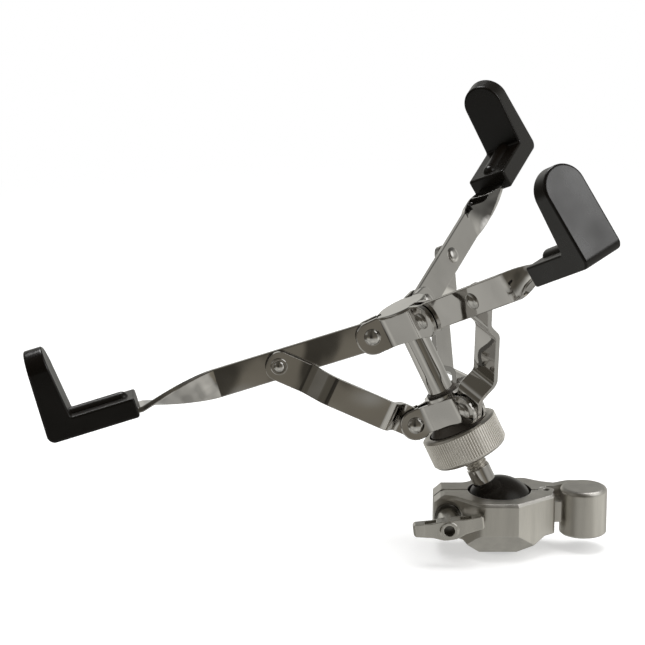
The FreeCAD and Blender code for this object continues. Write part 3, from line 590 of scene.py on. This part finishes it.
def geometry_tree(name, inputs):
    """Empty Geometry Nodes tree with named inputs."""
    tree = bpy.data.node_groups.new(name, "GeometryNodeTree")
    tree.interface.new_socket("Geometry", in_out="INPUT", socket_type="NodeSocketGeometry")
    for label, kind in inputs:
        tree.interface.new_socket(label, in_out="INPUT", socket_type=kind)
    tree.interface.new_socket("Geometry", in_out="OUTPUT", socket_type="NodeSocketGeometry")
    return tree, add_node(tree, "NodeGroupInput"), add_node(tree, "NodeGroupOutput")


def facing_points(name, places):
    """Loose points, each with the direction that it faces."""
    mesh = bpy.data.meshes.new(name)
    mesh.from_pydata([place for place, facing in places], [], [])
    facing = mesh.attributes.new("facing", "FLOAT_VECTOR", "POINT")
    for slot, (place, direction) in zip(facing.data, places):
        slot.vector = direction
    return mesh


def instances_to_mesh(tree, entry, leave, instance, points, rotation=None):
    """Tail that every tree shares: instances on points, made real, with one material."""
    links = tree.links
    spread = add_node(tree, "GeometryNodeInstanceOnPoints")
    links.new(points, spread.inputs["Points"])
    links.new(instance, spread.inputs["Instance"])
    if rotation is not None:
        links.new(rotation, spread.inputs["Rotation"])
    real = add_node(tree, "GeometryNodeRealizeInstances")
    links.new(spread.outputs["Instances"], real.inputs["Geometry"])
    smooth = add_node(tree, "GeometryNodeSetShadeSmooth")
    links.new(real.outputs["Geometry"], smooth.inputs["Geometry"])
    paint = add_node(tree, "GeometryNodeSetMaterial")
    links.new(smooth.outputs["Geometry"], paint.inputs["Geometry"])
    links.new(entry.outputs["Material"], paint.inputs["Material"])
    links.new(paint.outputs["Geometry"], leave.inputs["Geometry"])


def rivet_tree():
    """Tree that sets a smooth dome on each point, turned the way the point faces."""
    found = bpy.data.node_groups.get("Rivet domes")
    if found:
        return found
    tree, entry, leave = geometry_tree("Rivet domes", (
        ("Radius", "NodeSocketFloat"), ("Height", "NodeSocketFloat"), ("Material", "NodeSocketMaterial")))
    links = tree.links
    ball = add_node(tree, "GeometryNodeMeshUVSphere")
    ball.inputs["Segments"].default_value = dome_segments
    ball.inputs["Rings"].default_value = dome_rings
    ball.inputs["Radius"].default_value = 1.0
    place = add_node(tree, "GeometryNodeInputPosition")
    parts = add_node(tree, "ShaderNodeSeparateXYZ")
    links.new(place.outputs["Position"], parts.inputs["Vector"])
    upper = add_node(tree, "ShaderNodeMath", operation="MAXIMUM")
    upper.inputs[1].default_value = 0.0
    links.new(parts.outputs["Z"], upper.inputs[0])
    scaled = []
    for source, label in ((parts.outputs["X"], "Radius"), (parts.outputs["Y"], "Radius"),
                          (upper.outputs["Value"], "Height")):
        product = add_node(tree, "ShaderNodeMath", operation="MULTIPLY")
        links.new(source, product.inputs[0])
        links.new(entry.outputs[label], product.inputs[1])
        scaled.append(product.outputs["Value"])
    joined = add_node(tree, "ShaderNodeCombineXYZ")
    for source, label in zip(scaled, "XYZ"):
        links.new(source, joined.inputs[label])
    dome = add_node(tree, "GeometryNodeSetPosition")
    links.new(ball.outputs["Mesh"], dome.inputs["Geometry"])
    links.new(joined.outputs["Vector"], dome.inputs["Position"])
    facing = add_node(tree, "GeometryNodeInputNamedAttribute", data_type="FLOAT_VECTOR")
    facing.inputs["Name"].default_value = "facing"
    turn = add_node(tree, "FunctionNodeAlignRotationToVector", axis="Z")
    links.new(facing.outputs["Attribute"], turn.inputs["Vector"])
    points = add_node(tree, "GeometryNodeMeshToPoints")
    links.new(entry.outputs["Geometry"], points.inputs["Mesh"])
    instances_to_mesh(tree, entry, leave, dome.outputs["Geometry"], points.outputs["Points"],
                      turn.outputs["Rotation"])
    return tree


def rib_tree():
    """Tree that sets rounded ribs upright round a circle."""
    found = bpy.data.node_groups.get("Nut ribs")
    if found:
        return found
    tree, entry, leave = geometry_tree("Nut ribs", (
        ("Count", "NodeSocketInt"), ("Circle radius", "NodeSocketFloat"), ("Rib radius", "NodeSocketFloat"),
        ("Rib length", "NodeSocketFloat"), ("Material", "NodeSocketMaterial")))
    links = tree.links
    circle = add_node(tree, "GeometryNodeMeshCircle")
    links.new(entry.outputs["Count"], circle.inputs["Vertices"])
    links.new(entry.outputs["Circle radius"], circle.inputs["Radius"])
    points = add_node(tree, "GeometryNodeMeshToPoints")
    links.new(circle.outputs["Mesh"], points.inputs["Mesh"])
    rib = add_node(tree, "GeometryNodeMeshCylinder")
    rib.inputs["Vertices"].default_value = rib_sides
    links.new(entry.outputs["Rib radius"], rib.inputs["Radius"])
    links.new(entry.outputs["Rib length"], rib.inputs["Depth"])
    instances_to_mesh(tree, entry, leave, rib.outputs["Mesh"], points.outputs["Points"])
    return tree


def turned_mesh(name, profile, segments, crease, place):
    """Closed mesh turned about Z from (radius, height) pairs; a radius may be a function of the angle."""
    form = bmesh.new()
    rings = []
    for radius, height in profile:
        ring = []
        for step in range(segments):
            angle = 2 * math.pi * step / segments
            reach = radius(angle) if callable(radius) else radius
            ring.append(form.verts.new((reach * math.cos(angle), reach * math.sin(angle), height)))
        rings.append(ring)
    for lower, upper in zip(rings, rings[1:]):
        for step in range(segments):
            after = (step + 1) % segments
            form.faces.new((lower[step], lower[after], upper[after], upper[step]))
    form.faces.new(rings[0][::-1])
    form.faces.new(rings[-1])
    bmesh.ops.transform(form, matrix=place, verts=form.verts)
    bmesh.ops.recalc_face_normals(form, faces=form.faces)
    mesh = bpy.data.meshes.new(name)
    form.to_mesh(mesh)
    form.free()
    mesh.shade_smooth()
    mesh.set_sharp_from_angle(angle=crease)
    return mesh


def thread_profile(radius, low, high, pitch, depth):
    """Rings of a cut thread: each ring's radius falls and rises once as it goes round."""
    rows = round((high - low) / pitch * rings_per_turn)

    def cut_at(height):
        def reach(angle):
            turn = ((height - low) / pitch - angle / (2 * math.pi)) % 1.0
            slope = abs(2 * turn - 1)
            cut_share = (slope - thread_crest_share) / thread_flank_share
            return radius - depth * min(1.0, max(0.0, cut_share))
        return reach

    heights = [low + (high - low) * row / rows for row in range(rows + 1)]
    return [(cut_at(height), height) for height in heights]


# Pieces

class BASKET_OT_clamp(Operator):
    """Finish the two jaws of the ball clamp, its pin, bolt and washer"""
    bl_idname = "basket.clamp"
    bl_label = "Ball clamp"

    def execute(self, context):
        for node in ("clamp_body", "front_jaw"):
            finish_node(node, clamp_casting())
        # The pin, bolt and washer take steel darkened as painted shade of their recesses
        for node in ("hinge_pin", "clamp_bolt", "wing_washer"):
            finish_node(node, shade_darkened_steel())
        return {"FINISHED"}


class BASKET_OT_wing_nut(Operator):
    """Finish the wing nut"""
    bl_idname = "basket.wing_nut"
    bl_label = "Wing nut"

    def execute(self, context):
        finish_node("wing_nut", wing_casting())
        return {"FINISHED"}


class BASKET_OT_ball(Operator):
    """Finish the ball and its screw"""
    bl_idname = "basket.ball"
    bl_label = "Ball"

    def execute(self, context):
        finish_node("ball", ball_resin())
        finish_node("ball_screw", bolt_steel())
        return {"FINISHED"}


class BASKET_OT_post(Operator):
    """Turn the post with its cut thread"""
    bl_idname = "basket.post"
    bl_label = "Centre post"

    def execute(self, context):
        spigot_end, top = span_on_post("centre_post")
        thread_depth = sizes().thread_depth
        profile = [(spigot_radius, spigot_end), (spigot_radius, shoulder_height),
                   (foot_radius, shoulder_height), (foot_radius, foot_top - thread_lead),
                   (thread_radius - thread_depth, foot_top)]
        profile += thread_profile(thread_radius, foot_top + thread_lead, thread_end - thread_lead,
                                  sizes().thread_pitch, thread_depth)
        profile += [(thread_radius, thread_end), (tube_radius - tube_edge, thread_end),
                    (tube_radius, thread_end + tube_edge), (tube_radius, top)]
        mesh = turned_mesh("post_turned", profile, post_segments, post_crease, post_frame())
        mesh.materials.append(chrome_plate())
        mesh.materials.append(thread_steel())
        upward = joint_axis("post_spin")
        for face in mesh.polygons:
            height = (face.center - joint_place("ball_tilt")).dot(upward)
            face.material_index = int(foot_top < height < thread_end)
        post = mesh_piece("post_turned", mesh, "post")
        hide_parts("centre_post")
        return {"FINISHED"}


class BASKET_OT_adjusting_nut(Operator):
    """Finish the adjusting nut and set the ribs round its rim"""
    bl_idname = "basket.adjusting_nut"
    bl_label = "Adjusting nut"

    def execute(self, context):
        finish_node("adjusting_nut", satin_plate())
        nut_bottom, nut_top = span_on_post("adjusting_nut")
        rim_low = nut_bottom + nut_foot_round
        rim_high = nut_top - nut_top_break
        source = bpy.data.meshes.new("nut_seed")
        mesh = grown_mesh("nut_ribs", source, rib_tree(), {
            "Count": sizes().rib_count,
            "Circle radius": nut_rim_radius + sizes().rib_height - sizes().rib_radius,
            "Rib radius": sizes().rib_radius,
            "Rib length": rim_high - rim_low,
            "Material": rib_plate()})
        mesh.transform(post_frame() @ Matrix.Translation((0, 0, (rim_low + rim_high) / 2)))
        mesh.set_sharp_from_angle(angle=rib_crease)
        mesh_piece("nut_ribs", mesh, "nut")
        return {"FINISHED"}


class BASKET_OT_collar(Operator):
    """Finish the sliding collar, its bush and its thrust washer"""
    bl_idname = "basket.collar"
    bl_label = "Sliding collar"

    def execute(self, context):
        finish_node("slide_collar", chrome_plate())
        finish_node("collar_bush", bush_plastic())
        finish_node("thrust_washer", bolt_steel())
        return {"FINISHED"}


class BASKET_OT_hub(Operator):
    """Finish the stamped hub"""
    bl_idname = "basket.hub"
    bl_label = "Top hub"

    def execute(self, context):
        finish_node("top_hub", chrome_plate())
        return {"FINISHED"}


class BASKET_OT_arms(Operator):
    """Finish the twisted arms and the joggled struts"""
    bl_idname = "basket.arms"
    bl_label = "Arms and struts"

    def execute(self, context):
        for side in arm_sides:
            finish_node("arm_" + side, chrome_plate())
            finish_node("strut_" + side, chrome_plate())
        return {"FINISHED"}


class BASKET_OT_rivets(Operator):
    """Finish the rivets and set smooth domes on their heads"""
    bl_idname = "basket.rivets"
    bl_label = "Rivets"

    def execute(self, context):
        large = (sizes().rivet_radius, sizes().rivet_height * sizes().dome_share)
        small = (sizes().small_radius, sizes().small_height * sizes().dome_share)
        heads = {("post", large): [], ("collar", large): []}
        for side in arm_sides:
            face = arm_face(side)
            for body, node in (("post", "hub_rivet_"), ("collar", "collar_rivet_")):
                finish_node(node + side, rivet_plate())
                middle = node_centre(node + side)
                low, high = span_along(node + side, middle, face)
                heads[body, large] += [(middle + face * (high - sizes().rivet_height), face),
                                       (middle + face * (low + sizes().rivet_height), -face)]
            finish_node("strut_rivet_" + side, rivet_plate())
            pivot = joint_place(side + "_strut_swing")
            low, high = span_along("strut_rivet_" + side, pivot, face)
            heads[side + "_arm", large] = [(pivot + face * (low + sizes().rivet_height), -face)]
            heads[side + "_arm", small] = [(pivot + face * (high - sizes().small_height), face)]
        for (body, (radius, height)), places in heads.items():
            name = ("rivet_domes_" if radius == large[0] else "small_domes_") + body
            mesh = grown_mesh(name, facing_points("rivet_seeds", places), rivet_tree(), {
                "Radius": radius, "Height": height, "Material": rivet_plate()})
            mesh_piece(name, mesh, body)
        return {"FINISHED"}


class BASKET_OT_grips(Operator):
    """Finish the rubber grips"""
    bl_idname = "basket.grips"
    bl_label = "Rubber grips"

    def execute(self, context):
        for side in arm_sides:
            finish_node("grip_" + side, grip_rubber())
        return {"FINISHED"}


# Stage

floor_side = 2.2
floor_gap = 0.2 * millimetre
floor_rim_limits = (0.45, 1.0)
paper_dark = 0.56
paper_light = 0.58
paper_glow = 0.5
plain = (1.0, 0.99, 0.93)
warm = (1.0, 0.92, 0.76)
glow_colour = (1.3, 1.3, 1.28)

# Sides of the room: stops of height, 0 straight down and 1 straight up, with the brightness and tint there

front_stops = ((0.0, 0.4, plain), (0.21, 0.55, plain), (0.345, 0.5, plain), (0.39, 0.36, plain),
               (0.415, 0.24, warm), (0.45, 0.19, warm), (0.48, 0.12, warm), (0.6, 0.1, warm),
               (1.0, 0.1, warm))
screen_stops = ((0.0, 0.4, plain), (0.21, 0.5, plain), (0.345, 0.46, plain), (0.39, 0.32, plain),
                (0.41, 0.08, warm), (0.48, 0.04, warm), (0.7, 0.06, warm), (1.0, 0.08, warm))
back_stops = ((0.0, 0.34, plain), (0.14, 0.38, plain), (0.44, 0.45, plain), (0.52, 0.52, plain),
              (0.56, 0.66, plain), (0.61, 0.5, plain), (0.66, 0.33, plain), (0.76, 0.2, plain),
              (1.0, 0.1, plain))
left_stops = ((0.0, 0.4, plain), (0.2, 0.5, plain), (0.25, 0.46, plain), (0.3, 0.12, warm),
              (0.5, 0.09, warm), (0.6, 0.12, warm), (0.65, 0.34, plain), (0.74, 0.3, plain),
              (1.0, 0.1, warm))
right_stops = ((0.0, 0.5, plain), (0.33, 0.74, plain), (0.43, 0.72, plain), (0.5, 0.4, plain),
               (0.57, 0.36, plain), (0.65, 0.5, plain), (0.75, 0.4, plain), (1.0, 0.1, plain))

# Where one side of the room passes into the next, in a direction's X or Y, and the glow round the key light

back_limits = (-0.3, 0.3)
screen_left_limits = (-0.24, -0.18)
screen_right_limits = (0.1, 0.07)
right_limits = (-0.1, 0.1)
beside_limits = (0.55, 0.8)
glow_limits = (0.84, 0.995)

# Soft lights: place from what they aim at and width of their disc in metres, power in watts

studio_lights = {
    "overhead": {"offset": Vector((0.0, 0.25, 1.5)), "width": 1.6, "power": 34.0},
    "key": {"offset": Vector((1.2, -0.52, 1.08)), "width": 1.6, "power": 12.0},
    "side_sheen": {"offset": Vector((1.34, -0.66, 0.8)), "width": 0.6, "power": 5.2},
    "upper_sheen": {"offset": Vector((-0.35, 0.75, 1.2)), "width": 0.7, "power": 11.0},
    "edge_sheen": {"offset": Vector((0.64, 0.34, 1.36)), "width": 1.0, "power": 5.0},
    "nut_sheen": {"offset": Vector((1.42, -0.44, 0.29)), "width": 1.5, "power": 3.2},
}


def ramp_of(tree, stops):
    """Colour ramp with the given stops of place, brightness and tint."""
    node = add_node(tree, "ShaderNodeValToRGB")
    ramp = node.color_ramp
    while len(ramp.elements) > 1:
        ramp.elements.remove(ramp.elements[-1])
    for index, (place, level, tint) in enumerate(stops):
        element = ramp.elements[0] if index == 0 else ramp.elements.new(place)
        element.position = place
        element.color = (level * tint[0], level * tint[1], level * tint[2], 1.0)
    return node


def smooth_mask(tree, source, limits):
    """Mask that rises smoothly from zero at one limit to one at the other."""
    mask = add_node(tree, "ShaderNodeMapRange", interpolation_type="SMOOTHSTEP")
    mask.inputs["From Min"].default_value = limits[0]
    mask.inputs["From Max"].default_value = limits[1]
    tree.links.new(source, mask.inputs["Value"])
    return mask.outputs["Result"]


def studio_world():
    """White floor under a dim room that is lighter behind and to the right, as bright plate reflects it."""
    world = bpy.data.worlds.new("studio")
    world.use_nodes = True
    tree = world.node_tree
    tree.nodes.clear()
    links = tree.links
    place = add_node(tree, "ShaderNodeTexCoord")
    parts = add_node(tree, "ShaderNodeSeparateXYZ")
    links.new(place.outputs["Generated"], parts.inputs["Vector"])
    height = add_node(tree, "ShaderNodeMapRange")
    height.inputs["From Min"].default_value = -1.0
    links.new(parts.outputs["Z"], height.inputs["Value"])
    sides = []
    for stops in (front_stops, screen_stops, back_stops, left_stops, right_stops):
        ramp = ramp_of(tree, stops)
        links.new(height.outputs["Result"], ramp.inputs["Fac"])
        sides.append(ramp.outputs["Color"])
    front, screen, back, left, right = sides
    screened = add_node(tree, "ShaderNodeMath", operation="MULTIPLY")
    links.new(smooth_mask(tree, parts.outputs["X"], screen_left_limits), screened.inputs[0])
    links.new(smooth_mask(tree, parts.outputs["X"], screen_right_limits), screened.inputs[1])
    near = mixed_colour(tree, screened.outputs["Value"], front, screen)
    ahead = mixed_colour(tree, smooth_mask(tree, parts.outputs["Y"], back_limits), near, back)
    beside = mixed_colour(tree, smooth_mask(tree, parts.outputs["X"], right_limits), left, right)
    across = add_node(tree, "ShaderNodeMath", operation="ABSOLUTE")
    links.new(parts.outputs["X"], across.inputs[0])
    room = mixed_colour(tree, smooth_mask(tree, across.outputs["Value"], beside_limits), ahead, beside)
    drift = add_node(tree, "ShaderNodeTexNoise")
    drift.inputs["Scale"].default_value = 2.6
    drift.inputs["Detail"].default_value = 0.0
    links.new(place.outputs["Generated"], drift.inputs["Vector"])
    uneven = add_node(tree, "ShaderNodeMapRange")
    uneven.inputs["From Min"].default_value = 0.3
    uneven.inputs["From Max"].default_value = 0.7
    uneven.inputs["To Min"].default_value = 0.8
    uneven.inputs["To Max"].default_value = 1.2
    links.new(drift.outputs["Fac"], uneven.inputs["Value"])
    dim = add_node(tree, "ShaderNodeMix", data_type="RGBA", blend_type="MULTIPLY")
    dim.inputs["Factor"].default_value = 1.0
    links.new(room, dim.inputs[mix_first])
    links.new(uneven.outputs["Result"], dim.inputs[mix_second])
    towards = add_node(tree, "ShaderNodeVectorMath", operation="DOT_PRODUCT")
    towards.inputs[1].default_value = studio_lights["key"]["offset"].normalized()
    links.new(place.outputs["Generated"], towards.inputs[0])
    glow = smooth_mask(tree, towards.outputs["Value"], glow_limits)
    lit = mixed_colour(tree, glow, dim.outputs[mix_result], glow_colour)
    seen = add_node(tree, "ShaderNodeLightPath")
    light = add_node(tree, "ShaderNodeBackground")
    links.new(mixed_colour(tree, seen.outputs["Is Camera Ray"], lit, grey(1.0)), light.inputs["Color"])
    output = add_node(tree, "ShaderNodeOutputWorld")
    links.new(light.outputs["Background"], output.inputs["Surface"])
    return world


def soft_light(name, target):
    """Round soft light of the studio, looking at a point."""
    values = studio_lights[name]
    data = bpy.data.lights.new(name, "AREA")
    data.shape = "DISK"
    data.size = values["width"]
    data.energy = values["power"]
    light = bpy.data.objects.new(name, data)
    light.location = target + values["offset"]
    light.rotation_mode = "QUATERNION"
    light.rotation_quaternion = (-values["offset"]).to_track_quat("-Z", "Y")
    bpy.context.scene.collection.objects.link(light)
    return light


def lit_only(light, pieces):
    """Let a light fall on some pieces alone, so that bright plate doesn't mirror it."""
    receivers = bpy.data.collections.new(light.name + "_receivers")
    for piece in pieces:
        receivers.objects.link(piece)
    light.light_linking.receiver_collection = receivers


def floor_material():
    """Pale floor paper with the faintest drift of tone, fading into the white room at its rim."""
    material, tree, shader, place = new_material("floor_paper")
    tone = add_node(tree, "ShaderNodeTexNoise")
    tone.inputs["Scale"].default_value = 3.0
    tree.links.new(place, tone.inputs["Vector"])
    reach = add_node(tree, "ShaderNodeVectorMath", operation="LENGTH")
    tree.links.new(place, reach.inputs[0])
    rim = smooth_mask(tree, reach.outputs["Value"], floor_rim_limits)
    paper = mixed_colour(tree, tone.outputs["Fac"], grey(paper_dark), grey(paper_light))
    tree.links.new(mixed_colour(tree, rim, paper, grey(0.0)), shader.inputs["Base Color"])
    tree.links.new(mixed_colour(tree, rim, grey(paper_glow), grey(1.0)), shader.inputs["Emission Color"])
    shader.inputs["Emission Strength"].default_value = 1.0
    shader.inputs["Roughness"].default_value = 0.9
    shader.inputs["Specular IOR Level"].default_value = 0.0
    return material


def studio_floor():
    """Flat floor just under the part, which bright plate doesn't mirror."""
    half = floor_side / 2
    level = cad_low.z - floor_gap
    corners = ((-half, -half, level), (half, -half, level), (half, half, level), (-half, half, level))
    mesh = bpy.data.meshes.new("floor")
    mesh.from_pydata(corners, [], [(0, 1, 2, 3)])
    mesh.materials.append(floor_material())
    floor = bpy.data.objects.new("floor", mesh)
    bpy.context.scene.collection.objects.link(floor)
    floor.visible_glossy = False
    return floor


def studio_camera(studio):
    """Camera that looks from the front and sees the ball at its pixel."""
    ball = joint_place("ball_tilt")
    away = Vector((0, math.cos(studio.elevation), -math.sin(studio.elevation)))
    up = Vector((0, math.sin(studio.elevation), math.cos(studio.elevation)))
    half_image = studio.image_side / 2
    right_shift = (studio.ball_column - half_image) / studio.pixels_per_metre
    up_shift = (half_image - studio.ball_row) / studio.pixels_per_metre
    data = bpy.data.cameras.new("camera")
    data.lens = data.sensor_width * studio.pixels_per_metre * studio.distance / studio.image_side
    camera = bpy.data.objects.new("camera", data)
    camera.location = ball - away * studio.distance - Vector((right_shift, 0, 0)) - up * up_shift
    camera.rotation_mode = "QUATERNION"
    camera.rotation_quaternion = away.to_track_quat("-Z", "Y")
    bpy.context.scene.collection.objects.link(camera)
    return camera


class BASKET_OT_stage(Operator):
    """Set the floor, the soft studio light and the camera of the picture"""
    bl_idname = "basket.stage"
    bl_label = "Stage"

    def execute(self, context):
        scene = context.scene
        scene.world = studio_world()
        scene.view_settings.view_transform = "Standard"
        floor = studio_floor()
        middle = (cad_low + cad_high) / 2
        for name in ("overhead", "key"):
            soft_light(name, middle).visible_glossy = False
        grips = [nodes["grip_" + side] for side in arm_sides]
        lit_only(soft_light("side_sheen", middle), grips)
        lit_only(soft_light("upper_sheen", middle), grips)
        castings = [nodes[node] for node in ("clamp_body", "front_jaw", "wing_nut")]
        lit_only(soft_light("edge_sheen", middle), castings)
        ribbed = [nodes["adjusting_nut"], bpy.data.objects["nut_ribs"]]
        lit_only(soft_light("nut_sheen", node_centre("adjusting_nut")), ribbed)
        scene.camera = studio_camera(scene.basket_studio)
        return {"FINISHED"}


class BASKET_PT_panel(Panel):
    """Lists the pieces of the basket and its settings"""
    bl_idname = "BASKET_PT_panel"
    bl_label = "Snare drum basket"
    bl_space_type = "VIEW_3D"
    bl_region_type = "UI"
    bl_category = "Basket"

    def draw(self, context):
        for operator in piece_operators:
            self.layout.operator(operator.bl_idname)
        for group_name in setting_groups:
            settings = getattr(context.scene, group_name)
            column = self.layout.column()
            for name in settings.__annotations__:
                column.prop(settings, name)


setting_groups = {
    "basket_sizes": BasketSizes,
    "basket_finishes": BasketFinishes,
    "basket_studio": BasketStudio,
}
piece_operators = (BASKET_OT_clamp, BASKET_OT_wing_nut, BASKET_OT_ball, BASKET_OT_post,
                   BASKET_OT_adjusting_nut, BASKET_OT_collar, BASKET_OT_hub, BASKET_OT_arms,
                   BASKET_OT_rivets, BASKET_OT_grips, BASKET_OT_stage)
classes = (*setting_groups.values(), *piece_operators, BASKET_PT_panel)


def register():
    """Add the classes and the scene's settings."""
    for item in classes:
        bpy.utils.register_class(item)
    for name, group in setting_groups.items():
        setattr(bpy.types.Scene, name, PointerProperty(type=group))


def unregister():
    """Take the settings and the classes away again."""
    for name in setting_groups:
        delattr(bpy.types.Scene, name)
    for item in reversed(classes):
        bpy.utils.unregister_class(item)


def main():
    """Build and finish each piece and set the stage."""
    register()
    bpy.ops.basket.clamp()
    bpy.ops.basket.wing_nut()
    bpy.ops.basket.ball()
    bpy.ops.basket.post()
    bpy.ops.basket.adjusting_nut()
    bpy.ops.basket.collar()
    bpy.ops.basket.hub()
    bpy.ops.basket.arms()
    bpy.ops.basket.rivets()
    bpy.ops.basket.grips()
    bpy.ops.basket.stage()


if __name__ == "__main__":
    main()
